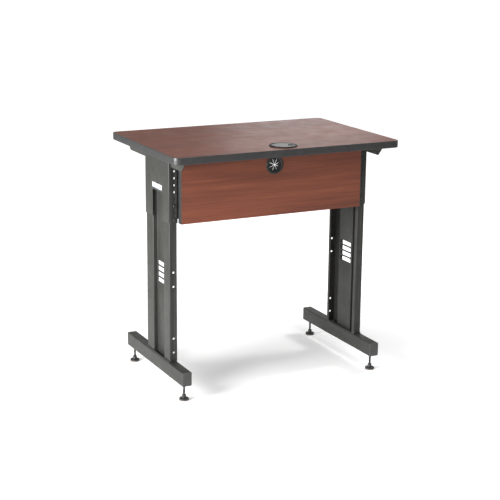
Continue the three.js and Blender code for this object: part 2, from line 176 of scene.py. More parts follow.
def uneven(tree, per_mm, low, high, detail=4):
    """A value that drifts between low and high over a piece, with per_mm features to a millimetre."""
    noise = object_noise(tree, per_mm, detail)
    spread = add(tree, "ShaderNodeMapRange", None, Value=noise,
                 From_Min=NOISE_LOW, From_Max=NOISE_HIGH, To_Min=low, To_Max=high)
    return spread.outputs["Result"]


def grain(tree, shader, per_mm, depth_mm, detail=2):
    """Raises the surface by up to depth_mm, with per_mm features to a millimetre."""
    height = object_noise(tree, per_mm, detail)
    raised = add(tree, "ShaderNodeBump", None, Height=height, Distance=depth_mm * MM, Strength=1)
    tree.links.new(raised.outputs["Normal"], shader.inputs["Normal"])


# %% [markdown]
# ## The studio
# The world and the floor are pure white to the camera, so no horizon shows, but they give the table less
# light than they seem to. The Light Path node tells a ray that comes from the camera from one that carries
# light. The world is dim overhead, as in a studio with white walls and a dark ceiling, so the worktop keeps
# its colour. The floor glows less near the table than further out, which leaves room for the soft shadows
# of the legs.


# %% World and floor
def make_world(horizon, zenith):
    """White to the camera. Its light falls from one strength at the horizon to another overhead."""
    world = bpy.data.worlds.new("white_studio")
    world.use_nodes = True
    tree = world.node_tree
    tree.nodes.clear()
    direction = add(tree, "ShaderNodeTexCoord").outputs["Generated"]
    height = add(tree, "ShaderNodeSeparateXYZ", None, Vector=direction).outputs["Z"]
    strength = add(tree, "ShaderNodeMapRange", {"interpolation_type": "SMOOTHSTEP"}, Value=height,
                   From_Min=0.12, From_Max=0.6, To_Min=horizon, To_Max=zenith).outputs["Result"]
    seen = add(tree, "ShaderNodeLightPath").outputs["Is Camera Ray"]
    shown = add(tree, "ShaderNodeMapRange", None, Value=seen, To_Min=strength, To_Max=1).outputs["Result"]
    light = add(tree, "ShaderNodeBackground", None, Color=(1, 1, 1, 1), Strength=shown)
    output = add(tree, "ShaderNodeOutputWorld")
    tree.links.new(light.outputs["Background"], output.inputs["Surface"])
    scene.world = world


def make_floor(half):
    """A big sheet of white studio paper. It glows where it is seen, more so further out."""
    material, tree, shader = new_material("studio_paper", Roughness=0.9, Emission_Color=(1, 1, 1, 1))
    place_on_floor = add(tree, "ShaderNodeTexCoord").outputs["Object"]
    distance = add(tree, "ShaderNodeVectorMath", {"operation": "LENGTH"}, i0=place_on_floor).outputs["Value"]
    glow = add(tree, "ShaderNodeMapRange", None, Value=distance,
               From_Min=0.5, From_Max=1.5, To_Min=0.27, To_Max=0.95).outputs["Result"]
    seen = add(tree, "ShaderNodeLightPath").outputs["Is Camera Ray"]
    strength = add(tree, "ShaderNodeMapRange", None, Value=seen, To_Min=0.1, To_Max=glow).outputs["Result"]
    tree.links.new(strength, shader.inputs["Emission Strength"])
    fibres = uneven(tree, 0.4, 0, 1, 2)
    colour = add(tree, "ShaderNodeValToRGB", None, [(0, "#ececec"), (1, "#f0f0f0")], Fac=fibres)
    tree.links.new(colour.outputs["Color"], shader.inputs["Base Color"])
    bm = bmesh.new()
    bmesh.ops.create_grid(bm, x_segments=8, y_segments=8, size=half)
    mesh = bpy.data.meshes.new("floor")
    bm.to_mesh(mesh)
    bm.free()
    mesh.materials.append(material)
    floor = bpy.data.objects.new("floor", mesh)
    scene.collection.objects.link(floor)


make_world(0.55, 0.04)
make_floor(30)
print("world and floor made")

# %% [markdown]
# ## High-pressure laminate, a mahogany print
# The board is faced with printed paper under clear melamine. The print has three scales: broad bands of
# tone a few centimetres across, streaks of one or two millimetres, and fine pores, all drawn out along X.
# The clear layer has a satin press texture, which turns the surface grey where it mirrors the room at a low
# angle.


# %% Laminate
def make_laminate(name, dark, middle, light):
    material, tree, shader = new_material(name, Roughness=0.42, IOR=1.5)
    bands = object_noise(tree, 0.028, 3, 0.55, stretch=(0.06, 1, 1))
    streaks = object_noise(tree, 0.32, 4, 0.6, stretch=(0.012, 1, 1))
    pores = object_noise(tree, 1.3, 2, 0.5, stretch=(0.03, 1, 1))
    figure = add(tree, "ShaderNodeMix", {"data_type": "FLOAT"}, Factor=0.45, i2=bands, i3=streaks).outputs[0]
    tone = add(tree, "ShaderNodeMapRange", None, Value=figure,
               From_Min=NOISE_LOW, From_Max=NOISE_HIGH, To_Min=0, To_Max=1).outputs["Result"]
    stops = [(0, dark), (1, light), (0.5, middle)]
    base = add(tree, "ShaderNodeValToRGB", None, stops, Fac=tone).outputs["Color"]
    pore_depth = add(tree, "ShaderNodeMapRange", None, Value=pores,
                     From_Min=0.56, From_Max=0.72, To_Min=0, To_Max=0.34).outputs["Result"]
    colour = add(tree, "ShaderNodeMix", {"data_type": "RGBA"}, i0=pore_depth, i6=base, i7=linear(dark))
    tree.links.new(colour.outputs[2], shader.inputs["Base Color"])
    tree.links.new(uneven(tree, 0.02, 0.38, 0.46), shader.inputs["Roughness"])
    grain(tree, shader, 1.6, 0.02)
    return material


laminate = make_laminate("laminate_mahogany_print", "#5c3022", "#7a412d", "#8f5139")
print("laminate nodes:", len(laminate.node_tree.nodes))

# %% [markdown]
# ## Powder-coated steel
# The frame is folded sheet steel under a baked polyester powder. The powder flows out to a satin skin with
# a fine orange peel, and its thickness drifts a little, so the grey is never quite even. It is paint, so it
# isn't metallic. The real peel is about half a millimetre across, and it is drawn at one millimetre, so
# that it shows.


# %% Powder coat, plastics, rubber, zinc and board
def make_powder_coat(name, dark, light):
    material, tree, shader = new_material(name, IOR=1.5, Specular_IOR_Level=0.35)
    drift = uneven(tree, 0.012, 0, 0.75, 3)
    speck = uneven(tree, 0.9, 0, 0.25, 2)
    tone = add(tree, "ShaderNodeMath", {"operation": "ADD"}, i0=drift, i1=speck).outputs[0]
    colour = add(tree, "ShaderNodeValToRGB", None, [(0, dark), (1, light)], Fac=tone)
    tree.links.new(colour.outputs["Color"], shader.inputs["Base Color"])
    tree.links.new(uneven(tree, 0.05, 0.4, 0.5), shader.inputs["Roughness"])
    grain(tree, shader, 1.1, 0.05, 3)
    return material


def make_plastic(name, dark, light, rough, grain_per_mm, depth_mm, **values):
    """A moulded plastic or rubber: a spark-eroded grain in the mould, and a slight drift of colour."""
    material, tree, shader = new_material(name, **values)
    tone = uneven(tree, 0.08, 0, 1)
    colour = add(tree, "ShaderNodeValToRGB", None, [(0, dark), (1, light)], Fac=tone)
    tree.links.new(colour.outputs["Color"], shader.inputs["Base Color"])
    tree.links.new(uneven(tree, 0.2, rough - 0.05, rough + 0.05), shader.inputs["Roughness"])
    grain(tree, shader, grain_per_mm, depth_mm)
    return material


def make_zinc(name, dark, light):
    """Electroplated zinc on a cold-headed bolt: a fine, slightly cloudy metal."""
    material, tree, shader = new_material(name, Metallic=1)
    cloud = uneven(tree, 0.35, 0, 1)
    colour = add(tree, "ShaderNodeValToRGB", None, [(0, dark), (1, light)], Fac=cloud)
    tree.links.new(colour.outputs["Color"], shader.inputs["Base Color"])
    tree.links.new(uneven(tree, 0.6, 0.24, 0.4), shader.inputs["Roughness"])
    grain(tree, shader, 3, 0.01)
    return material


def make_chipboard(name):
    """Pressed wood chips of one to three millimetres, as a sawn edge or a drilled hole shows them."""
    material, tree, shader = new_material(name, Roughness=0.85)
    position = add(tree, "ShaderNodeTexCoord").outputs["Object"]
    chips = add(tree, "ShaderNodeTexVoronoi", None, Vector=position, Scale=0.6 / MM, Randomness=1)
    tone = add(tree, "ShaderNodeSeparateColor", None, Color=chips.outputs["Color"]).outputs["Red"]
    stops = [(0, "#7a5a3a"), (1, "#c8a878"), (0.5, "#a5835a")]
    colour = add(tree, "ShaderNodeValToRGB", None, stops, Fac=tone)
    tree.links.new(colour.outputs["Color"], shader.inputs["Base Color"])
    edges = chips.outputs["Distance"]
    raised = add(tree, "ShaderNodeBump", None, Height=edges, Distance=0.15 * MM, Strength=1)
    tree.links.new(raised.outputs["Normal"], shader.inputs["Normal"])
    return material


def make_sticker(name, edge_height, lower, upper):
    """Printed film: a pale band below the height edge_height, and white above it, both slightly uneven."""
    material, tree, shader = new_material(name, Roughness=0.35, IOR=1.45)
    position = add(tree, "ShaderNodeTexCoord").outputs["Object"]
    height = add(tree, "ShaderNodeSeparateXYZ", None, Vector=position).outputs["Z"]
    above = add(tree, "ShaderNodeMapRange", None, Value=height, From_Min=edge_height - 0.4 * MM,
                From_Max=edge_height + 0.4 * MM, To_Min=0.05, To_Max=0.95).outputs["Result"]
    drift = uneven(tree, 0.3, -0.05, 0.05, 3)
    tone = add(tree, "ShaderNodeMath", {"operation": "ADD"}, i0=above, i1=drift).outputs[0]
    colour = add(tree, "ShaderNodeValToRGB", None, [(0, lower), (1, upper)], Fac=tone)
    tree.links.new(colour.outputs["Color"], shader.inputs["Base Color"])
    grain(tree, shader, 0.6, 0.005)
    return material


# Satin charcoal paint gives the frame its soft, even grey, and grainy PVC makes the board's edge a little
# shinier.
powder_coat = make_powder_coat("charcoal_powder_coat", "#2f2f2c", "#393936")
edge_pvc = make_plastic("edge_moulding_pvc", "#2f2f2f", "#383838", 0.36, 2.2, 0.015, IOR=1.52)
# The grommet's cap has a polished skin that mirrors the room, and its ring has a duller one.
black_abs = make_plastic("grommet_abs", "#242524", "#2d2e2d", 0.36, 2.5, 0.02, IOR=1.53)
# The ring is also coloured darker than the cap, as painted shade for the gap round the cap.
ring_abs_painted_shade = make_plastic("grommet_ring_abs", "#161717", "#1d1e1d", 0.5, 2.5, 0.02, IOR=1.53,
                        Specular_IOR_Level=0.2)
# The caps of the beams are a paler grey than the paint. The feet are black nylon on a worn brown-grey
# rubber.
cap_abs = make_plastic("beam_cap_abs", "#424241", "#4a4a49", 0.42, 2.5, 0.02, IOR=1.53)
black_nylon = make_plastic("foot_nylon", "#1d1d1c", "#272726", 0.45, 1.5, 0.04, IOR=1.53)
foot_rubber = make_plastic("foot_rubber", "#6a625b", "#7d746c", 0.75, 1.2, 0.06, IOR=1.5)
petal_rubber = make_plastic("petal_rubber", "#171717", "#202020", 0.6, 1.8, 0.03, IOR=1.5)
# Dark zinc plating gives small cloudy glints, and raw chipboard shows its chips inside the holes.
zinc = make_zinc("dark_zinc_plated_steel", "#4a4a48", "#5e5e5c")
chipboard = make_chipboard("chipboard")
backer = make_plastic("backer_sheet", "#4a332b", "#573d33", 0.6, 0.8, 0.02, IOR=1.5)
sticker = make_sticker("sticker_film", 0.761, "#aeb9cc", "#f2f3f5")
print("materials:", len(bpy.data.materials))

# %% [markdown]
# ## Helpers for meshes
# Nearly every piece here is a stack of outlines joined by walls: a turned part is a profile carried round an
# axis, a folded post is one outline carried up, and an edge moulding is a profile carried round the board.
# So one loft function makes them all, and its faces are turned outwards at the end.


# %% Lofts, outlines and finishing
def new_piece(name, mesh, *materials):
    for material in materials:
        mesh.materials.append(material)
    piece = bpy.data.objects.new(name, mesh)
    scene.collection.objects.link(piece)
    return piece


def tidy(bm, name):
    bmesh.ops.remove_doubles(bm, verts=bm.verts, dist=1e-6)
    bmesh.ops.recalc_face_normals(bm, faces=bm.faces)
    mesh = bpy.data.meshes.new(name)
    bm.to_mesh(mesh)
    bm.free()
    return mesh


def loft(name, loops, around=False):
    """Joins a stack of closed loops of equally many points. around joins the last loop to the first."""
    bm = bmesh.new()
    rows = [[bm.verts.new(point) for point in loop] for loop in loops]
    count = len(rows[0])
    pairs = list(zip(rows, rows[1:])) + ([(rows[-1], rows[0])] if around else [])
    for low, high in pairs:
        for i in range(count):
            j = (i + 1) % count
            bm.faces.new((low[i], low[j], high[j], high[i]))
    if not around:
        bm.faces.new(rows[0])
        bm.faces.new(rows[-1])
    return tidy(bm, name)


def turned(name, profile, steps):
    """A closed profile of (radius, height) points in metres, carried round the Z axis."""
    loops = []
    for i in range(steps):
        angle = 2 * math.pi * i / steps
        loops.append([(r * math.cos(angle), r * math.sin(angle), z) for r, z in profile])
    bm = bmesh.new()
    rows = [[bm.verts.new(point) for point in loop] for loop in loops]
    count = len(profile)
    for low, high in zip(rows, rows[1:] + rows[:1]):
        for i in range(count):
            j = (i + 1) % count
            if max(profile[i][0], profile[j][0]) > 1e-9:
                bm.faces.new((low[i], low[j], high[j], high[i]))
    bmesh.ops.remove_doubles(bm, verts=bm.verts, dist=1e-7)
    bmesh.ops.dissolve_degenerate(bm, edges=bm.edges, dist=1e-7)
    return tidy(bm, name)


def rounded_rectangle(x0, y0, x1, y1, radius, steps=6):
    points = []
    corners = [(x1, y1, 0), (x0, y1, 90), (x0, y0, 180), (x1, y0, 270)]
    for x, y, start in corners:
        cx, cy = x - math.copysign(radius, x - (x0 + x1) / 2), y - math.copysign(radius, y - (y0 + y1) / 2)
        for k in range(steps + 1):
            angle = math.radians(start + 90 * k / steps)
            points.append((cx + radius * math.cos(angle), cy + radius * math.sin(angle)))
    return points


def folded_sheet(path, thickness, inside_radius, steps=5):
    """The closed outline of a folded sheet, from its middle line."""
    bend = inside_radius + thickness / 2
    left, right = [], []

    def side_points(point, normal):
        left.append(point + normal * thickness / 2)
        right.append(point - normal * thickness / 2)

    points = [Vector(p) for p in path]
    normals = [Vector((a.y - b.y, b.x - a.x)).normalized() for a, b in zip(points, points[1:])]
    side_points(points[0], normals[0])
    for before, after, corner in zip(normals, normals[1:], points[1:-1]):
        turn = math.atan2(before.cross(after), before.dot(after))
        forward = Vector((before.y, -before.x))
        start = corner - forward * bend * math.tan(abs(turn) / 2)
        centre = start + before * math.copysign(bend, turn)
        for k in range(steps + 1):
            normal = Matrix.Rotation(turn * k / steps, 2) @ before
            side_points(centre - normal * math.copysign(bend, turn), normal)
    side_points(points[-1], normals[-1])
    return [tuple(p) for p in left + right[::-1]]


def smooth(piece, degrees=35):
    """Bakes the piece's modifiers into its mesh, then shades it smooth between its sharp edges."""
    if piece.modifiers:
        bpy.context.view_layer.update()
        evaluated = piece.evaluated_get(bpy.context.evaluated_depsgraph_get())
        mesh = bpy.data.meshes.new_from_object(evaluated)
        piece.modifiers.clear()
        piece.data = mesh
    piece.data.shade_smooth()
    piece.data.set_sharp_from_angle(angle=math.radians(degrees))
    return piece


def cut(piece, *cutters):
    for cutter in cutters:
        modifier = piece.modifiers.new("cut", "BOOLEAN")
        modifier.object = cutter
        modifier.solver = "EXACT"
    smooth(piece)
    for cutter in cutters:
        bpy.data.objects.remove(cutter)
    return piece


def soften(piece, width_mm, segments=2, degrees=50):
    """Breaks the sharp edges, as tumbling or paint does on the real piece."""
    modifier = piece.modifiers.new("edges", "BEVEL")
    modifier.width = width_mm * MM
    modifier.segments = segments
    modifier.limit_method = "ANGLE"
    modifier.angle_limit = math.radians(degrees)
    modifier.use_clamp_overlap = True
    return smooth(piece)


def copy_of(node, *materials):
    """A merged copy of a CAD node, with its flat faces whole again."""
    bm = bmesh.new()
    bm.from_mesh(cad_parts[node].data)
    bmesh.ops.remove_doubles(bm, verts=bm.verts, dist=2e-6)
    bmesh.ops.dissolve_limit(bm, angle_limit=math.radians(1), verts=bm.verts, edges=bm.edges)
    mesh = bpy.data.meshes.new(node)
    bm.to_mesh(mesh)
    bm.free()
    return new_piece(f"{node}_fine", mesh, *materials)


def finish(piece, body, slot, *nodes):
    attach(piece, body)
    if nodes:
        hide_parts(*nodes)
    return piece


# %% [markdown]
# ## Rows of holes, as Geometry Nodes
# The sleeves carry a row of height holes one inch apart, and the columns a row of cable windows. A Mesh
# Line gives one point for each, and the same cutting shape is put on every point. A boolean then cuts the
# whole row at once, and the walls of the cut take the finish that the tree sets.


# %% Geometry Nodes helpers
def new_tree(name, inputs):
    """A Geometry Nodes tree with named inputs, each (type, default)."""
    tree = bpy.data.node_groups.new(name, "GeometryNodeTree")
    tree.interface.new_socket(name="Geometry", in_out="INPUT", socket_type="NodeSocketGeometry")
    tree.interface.new_socket(name="Geometry", in_out="OUTPUT", socket_type="NodeSocketGeometry")
    for label, (kind, value) in inputs.items():
        socket = tree.interface.new_socket(name=label, in_out="INPUT", socket_type=f"NodeSocket{kind}")
        if value is not None:
            socket.default_value = value
    return tree, add(tree, "NodeGroupInput").outputs


def end_tree(tree, instances, finish):
    """Every tree ends alike: instances become real faces, and they get their finish."""
    faces = add(tree, "GeometryNodeRealizeInstances", None, Geometry=instances)
    coated = add(tree, "GeometryNodeSetMaterial", None, Geometry=faces.outputs["Geometry"], Material=finish)
    output = add(tree, "NodeGroupOutput")
    tree.links.new(coated.outputs["Geometry"], output.inputs["Geometry"])
    return tree


def run_tree(name, tree, mesh=None, **values):
    """A new piece made by the tree, with its inputs set by name before it is first evaluated."""
    piece = bpy.data.objects.new(name, mesh or bpy.data.meshes.new(name))
    scene.collection.objects.link(piece)
    modifier = piece.modifiers.new(tree.name, "NODES")
    modifier.node_group = tree
    sockets = {item.name: item.identifier for item in tree.interface.items_tree}
    for label, value in values.items():
        modifier[sockets[label]] = value
    smooth(piece)
    piece.data.materials.clear()  # the realised faces also carry the empty slot of the shape they came from
    piece.data.materials.append(values["Finish"])
    return piece


def make_row_tree():
    tree, given = new_tree("row_of_cuts", {
        "Shape": ("Object", None), "Start": ("Vector", (0, 0, 0)), "Step": ("Vector", (0, 0, -0.0254)),
        "Count": ("Int", 8), "Finish": ("Material", None),
    })
    line = add(tree, "GeometryNodeMeshLine", {"mode": "OFFSET"}, Count=given["Count"],
               Start_Location=given["Start"], Offset=given["Step"])
    shape = add(tree, "GeometryNodeObjectInfo", None, Object=given["Shape"])
    copies = add(tree, "GeometryNodeInstanceOnPoints", None, Points=line.outputs["Mesh"],
                 Instance=shape.outputs["Geometry"])
    return end_tree(tree, copies.outputs["Instances"], given["Finish"])


row_tree = make_row_tree()


def row_of(shape_mesh, start, step_down=0.0, count=1):
    shape = new_piece("cutting_shape", shape_mesh)
    row = run_tree("cutting_row", row_tree, Shape=shape, Start=start, Step=(0, 0, -step_down), Count=count,
                   Finish=powder_coat)
    bpy.data.objects.remove(shape)
    return row


print("trees:", [tree.name for tree in bpy.data.node_groups])

# %% [markdown]
# ## The board
# The worktop is chipboard between two sheets: the laminate above and a plain brown backer below. Its sides
# are raw board, but the edge moulding covers them. The CAD shape is right, so it is copied and its faces
# are sorted by the way they face. The panel is laminated on both sides, and its ends carry strips of the
# same moulding.


# %% Worktop and panel boards
def sort_faces(piece, slot_of):
    for face in piece.data.polygons:
        face.material_index = slot_of(face.normal)


top_low, top_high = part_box("worktop")
worktop = copy_of("worktop", laminate, backer, chipboard)
sort_faces(worktop, lambda n: 0 if n.z > 0.9 else 1 if n.z < -0.9 else 2)
finish(smooth(worktop), "table", "laminate_board", "worktop")

panel_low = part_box("modesty_panel")[0]
panel = copy_of("modesty_panel", laminate, chipboard)
sort_faces(panel, lambda n: 0 if abs(n.y) > 0.9 or abs(n.z) > 0.999 else 1)
finish(smooth(panel), "table", "laminate_board", "modesty_panel")
for side in SIDES:
    strip = copy_of(f"panel_end_band_{side}", edge_pvc)
    finish(soften(strip, 0.5), "table", "edge_moulding", f"panel_end_band_{side}")
print("worktop", [round(v / MM) for v in top_high - top_low], "mm")

# %% [markdown]
# ## The T-moulding
# A plastic extrusion is hammered into a groove round the board. Its edges are rounded, which gives the thin
# light line along the top, and its face is drawn flat between them. The profile is a list of insets and
# heights, and each point of it is carried round the board's rounded rectangle, whose corners get tighter as
# the inset grows.


# %% Edge moulding
BAND_DEPTH, BARB_DEPTH, BARB_HALF, CORNER = 2.5 * MM, 9.8 * MM, 1.0 * MM, 25 * MM
ROUND = 1.7 * MM
band_low, band_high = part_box("worktop_edge_band")


def band_profile():
    height = band_high.z - band_low.z
    middle = height / 2
    points = []
    for centre, start in ((ROUND, 270), (height - ROUND, 180)):
        arc = [math.radians(start - 90 * k / 5) for k in range(6)]
        points += [(ROUND + ROUND * math.cos(a), centre + ROUND * math.sin(a)) for a in arc]
    inner = [(BAND_DEPTH, height), (BAND_DEPTH, middle + BARB_HALF), (BARB_DEPTH, middle + BARB_HALF * 0.6),
             (BARB_DEPTH, middle - BARB_HALF * 0.6), (BAND_DEPTH, middle - BARB_HALF), (BAND_DEPTH, 0)]
    return points + inner


def board_loop(inset, z):
    points = rounded_rectangle(band_low.x + inset, band_low.y + inset, band_high.x - inset,
                               band_high.y - inset, CORNER - inset, 10)
    return [(x, y, band_low.z + z) for x, y in points]


moulding = new_piece("worktop_edge_moulding",
                     loft("moulding", [board_loop(*point) for point in band_profile()], around=True), edge_pvc)
finish(smooth(moulding), "table", "edge_moulding", "worktop_edge_band")
print("moulding faces:", len(moulding.data.polygons))

# %% [markdown]
# ## Posts folded from sheet
# Each leg is two channels of folded steel, one inside the other, so that the table slides up and down. A
# press brake leaves a small radius at each bend, and that radius carries the highlight down the post. So
# the outline of the bent sheet is worked out from its middle line and carried up, and the openings are cut
# afterwards.


# %% Cutting shapes and posts
def circle(radius, steps=24):
    angles = [2 * math.pi * k / steps for k in range(steps)]
    return [(radius * math.cos(a), radius * math.sin(a)) for a in angles]


def prism(outline, axis, low, high):
    """An outline carried along an axis from low to high. The outline's two values are the other two axes."""
    order = {
        "X": lambda a, b, c: (c, a, b), "Y": lambda a, b, c: (a, c, b), "Z": lambda a, b, c: (a, b, c),
    }[axis]
    return loft("prism", [[order(a, b, c) for a, b in outline] for c in (low, high)])


def centred_slot(length, height, corner):
    return rounded_rectangle(-length / 2, -height / 2, length / 2, height / 2, corner)


def post(name, side, path_mm, sheet_mm, radius_mm, z0, z1):
    """An open post. Its path runs along the middle of the sheet, with X counted out from the table's middle."""
    path = [(SIDES[side] * x * MM, y * MM) for x, y in path_mm]
    return new_piece(name, prism(folded_sheet(path, sheet_mm * MM, radius_mm * MM), "Z", z0, z1), powder_coat)


HOLE_X, SPARE_X, HOLE_RADIUS, HOLE_PITCH = 0.390, 0.394, 0.004, 0.0254
HEIGHT_HOLE_TOP = 0.8315
BOLT_HEIGHTS = [HEIGHT_HOLE_TOP - 5 * HOLE_PITCH, HEIGHT_HOLE_TOP - 7 * HOLE_PITCH]
SPARE_HOLES = [0.4565, 0.4025, 0.2045, 0.1505]
drill = prism(circle(HOLE_RADIUS), "Y", -0.008, 0.008)


def flange_holes(x, low, high, top, step_down, count):
    """A row of holes through the front face of a post, and one through its rear face."""
    return [row_of(drill, (x, y, top), step_down, count) for y in (low.y, high.y)]


print("height holes at", [round((HEIGHT_HOLE_TOP - k * HOLE_PITCH) / MM) for k in range(8)], "mm")

# %% [markdown]
# ## The lower columns
# The lower post stands on the foot and fits inside the sleeve. Its outer side is folded in to make a recess
# for cables, and the recess's back wall has a group of four wide windows. It is one sheet with eight bends.

# %% Lower columns
WEB_FACE, RECESS_FRONT, RECESS_REAR, COLUMN_LIP = 393.5, -87, 8.5, 16
COLUMN_SHEET, COLUMN_BEND = 2, 1.5
WINDOW_LENGTH, WINDOW_HEIGHT, WINDOW_CORNER = 0.082, 0.016, 0.004
WINDOW_PITCH, WINDOW_TOP_MIDDLE = 0.0218, 0.463
recess_middle = (RECESS_FRONT + RECESS_REAR) / 2 * MM
for side, k in SIDES.items():
    low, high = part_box(f"lower_column_{side}")
    inner, outer = sorted(abs(v) / MM for v in (low.x, high.x))
    front, rear = low.y / MM, high.y / MM
    column = post(f"lower_column_{side}_folded", side, [
        (inner + 1, rear - COLUMN_LIP), (inner + 1, rear - 1), (outer - 1, rear - 1), (outer - 1, RECESS_REAR + 1),
        (WEB_FACE - 1, RECESS_REAR + 1), (WEB_FACE - 1, RECESS_FRONT - 1), (outer - 1, RECESS_FRONT - 1),
        (outer - 1, front + 1), (inner + 1, front + 1), (inner + 1, front + COLUMN_LIP),
    ], COLUMN_SHEET, COLUMN_BEND, low.z, high.z)
    window = prism(centred_slot(WINDOW_LENGTH, WINDOW_HEIGHT, WINDOW_CORNER), "X", -0.006, 0.006)
    windows = row_of(window, (k * (WEB_FACE - 1) * MM, recess_middle, WINDOW_TOP_MIDDLE), WINDOW_PITCH, 4)
    holes = flange_holes(k * HOLE_X, low, high, BOLT_HEIGHTS[0], 2 * HOLE_PITCH, 2)
    for top, bottom in (SPARE_HOLES[:2], SPARE_HOLES[2:]):
        holes += flange_holes(k * SPARE_X, low, high, top, top - bottom, 2)
    cut(column, windows, *holes)
    finish(soften(column, 0.3), f"{side}_leg", "charcoal_powder_coat", f"lower_column_{side}")
    print(column.name, len(column.data.polygons), "faces")

# %% [markdown]
# ## The upper columns
# The sleeve is a plain channel with a lip on each side, and a long slot in its outer face that lets the
# cables out. Eight holes in each flange set the height. Its top is notched so that the support arm can pass
# inside.

# %% Upper columns
SLEEVE_SHEET, SLEEVE_BEND, SLEEVE_LIP = 2.3, 1.2, 20
SLOT_FRONT, SLOT_REAR, SLOT_TOP, SLOT_CORNER = -0.085, 0.005, 0.743, 0.004
ARM_BOTTOM, ARM_OUTER, GAP = 0.8477, 0.4048, 0.0003
for side, k in SIDES.items():
    low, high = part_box(f"upper_column_{side}")
    half = SLEEVE_SHEET / 2
    inner, outer = sorted(abs(v) / MM for v in (low.x, high.x))
    front, rear = low.y / MM, high.y / MM
    sleeve = post(f"upper_column_{side}_folded", side, [
        (inner + half, rear - SLEEVE_LIP), (inner + half, rear - half), (outer - half, rear - half),
        (outer - half, front + half), (inner + half, front + half), (inner + half, front + SLEEVE_LIP),
    ], SLEEVE_SHEET, SLEEVE_BEND, low.z, high.z)
    slot_outline = rounded_rectangle(SLOT_FRONT, low.z - 0.02, SLOT_REAR, SLOT_TOP, SLOT_CORNER)
    slot = row_of(prism(slot_outline, "X", -0.008, 0.008), (k * outer * MM, 0, 0))
    arm_outline = rounded_rectangle(-0.2, ARM_BOTTOM - GAP, 0.2, high.z + 0.02, 0.0005)
    reach = sorted((k * (inner - 5) * MM, k * (ARM_OUTER + GAP)))
    arm_space = row_of(prism(arm_outline, "X", *reach), (0, 0, 0))
    cut(sleeve, slot, arm_space, *flange_holes(k * HOLE_X, low, high, HEIGHT_HOLE_TOP, HOLE_PITCH, 8))
    finish(soften(sleeve, 0.3), "table", "charcoal_powder_coat", f"upper_column_{side}")
    print(sleeve.name, len(sleeve.data.polygons), "faces")

# %% [markdown]
# ## The support arms
# A steel angle runs the depth of the board on each side, with both ends cut on a slant so that no knee meets
# a corner. The slant is worked out for each point of the outline: the higher it is, the further out it goes.

# %% Support arms
ARM_SHEET, ARM_TOP_HALF, ARM_BOTTOM_HALF = 2.3, 0.271, 0.238
SCREW_X, SCREW_Y, SCREW_HOLE = 0.391, 0.18, 0.0026
for side, k in SIDES.items():
    low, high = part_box(f"support_arm_{side}")
    half = ARM_SHEET * MM / 2
    inner, outer = sorted(abs(v) for v in (low.x, high.x))
    path = [(k * inner, high.z - half), (k * (outer - half), high.z - half), (k * (outer - half), low.z)]
    outline = folded_sheet(path, ARM_SHEET * MM, 1.5 * MM)
    slope = (ARM_TOP_HALF - ARM_BOTTOM_HALF) / (high.z - low.z)
    ends = [[(x, end * (ARM_BOTTOM_HALF + slope * (z - low.z)), z) for x, z in outline] for end in (-1, 1)]
    arm = new_piece(f"support_arm_{side}_folded", loft("arm", ends), powder_coat)
    screw_holes = [row_of(prism(circle(SCREW_HOLE), "Z", high.z - 0.005, high.z + 0.005), (k * SCREW_X, y, 0))
                   for y in (-SCREW_Y, SCREW_Y)]
    cut(arm, *screw_holes)
    finish(soften(arm, 0.3), "table", "charcoal_powder_coat", f"support_arm_{side}")
    print(arm.name, len(arm.data.polygons), "faces")

# %% [markdown]
# ## Foot beams and their caps
# The foot is rectangular tube with small corner radii. Its wall shows only at the cable opening, but the
# tube is made hollow all the same: four outlines, outer and inner at each end, are joined in a ring. The
# cap is one moulding, and its outlines run from the hollow inside the plug, round the plug, and out to a
# soft-edged face.


# %% Foot beams and beam caps
def tube_loop(low, high, inset_mm, y, corner_mm):
    """The beam's outline in X and Z at y, taken in by inset_mm."""
    d = inset_mm * MM
    points = rounded_rectangle(low.x + d, low.z + d, high.x - d, high.z - d, corner_mm * MM, 5)
    return [(x, y, z) for x, z in points]


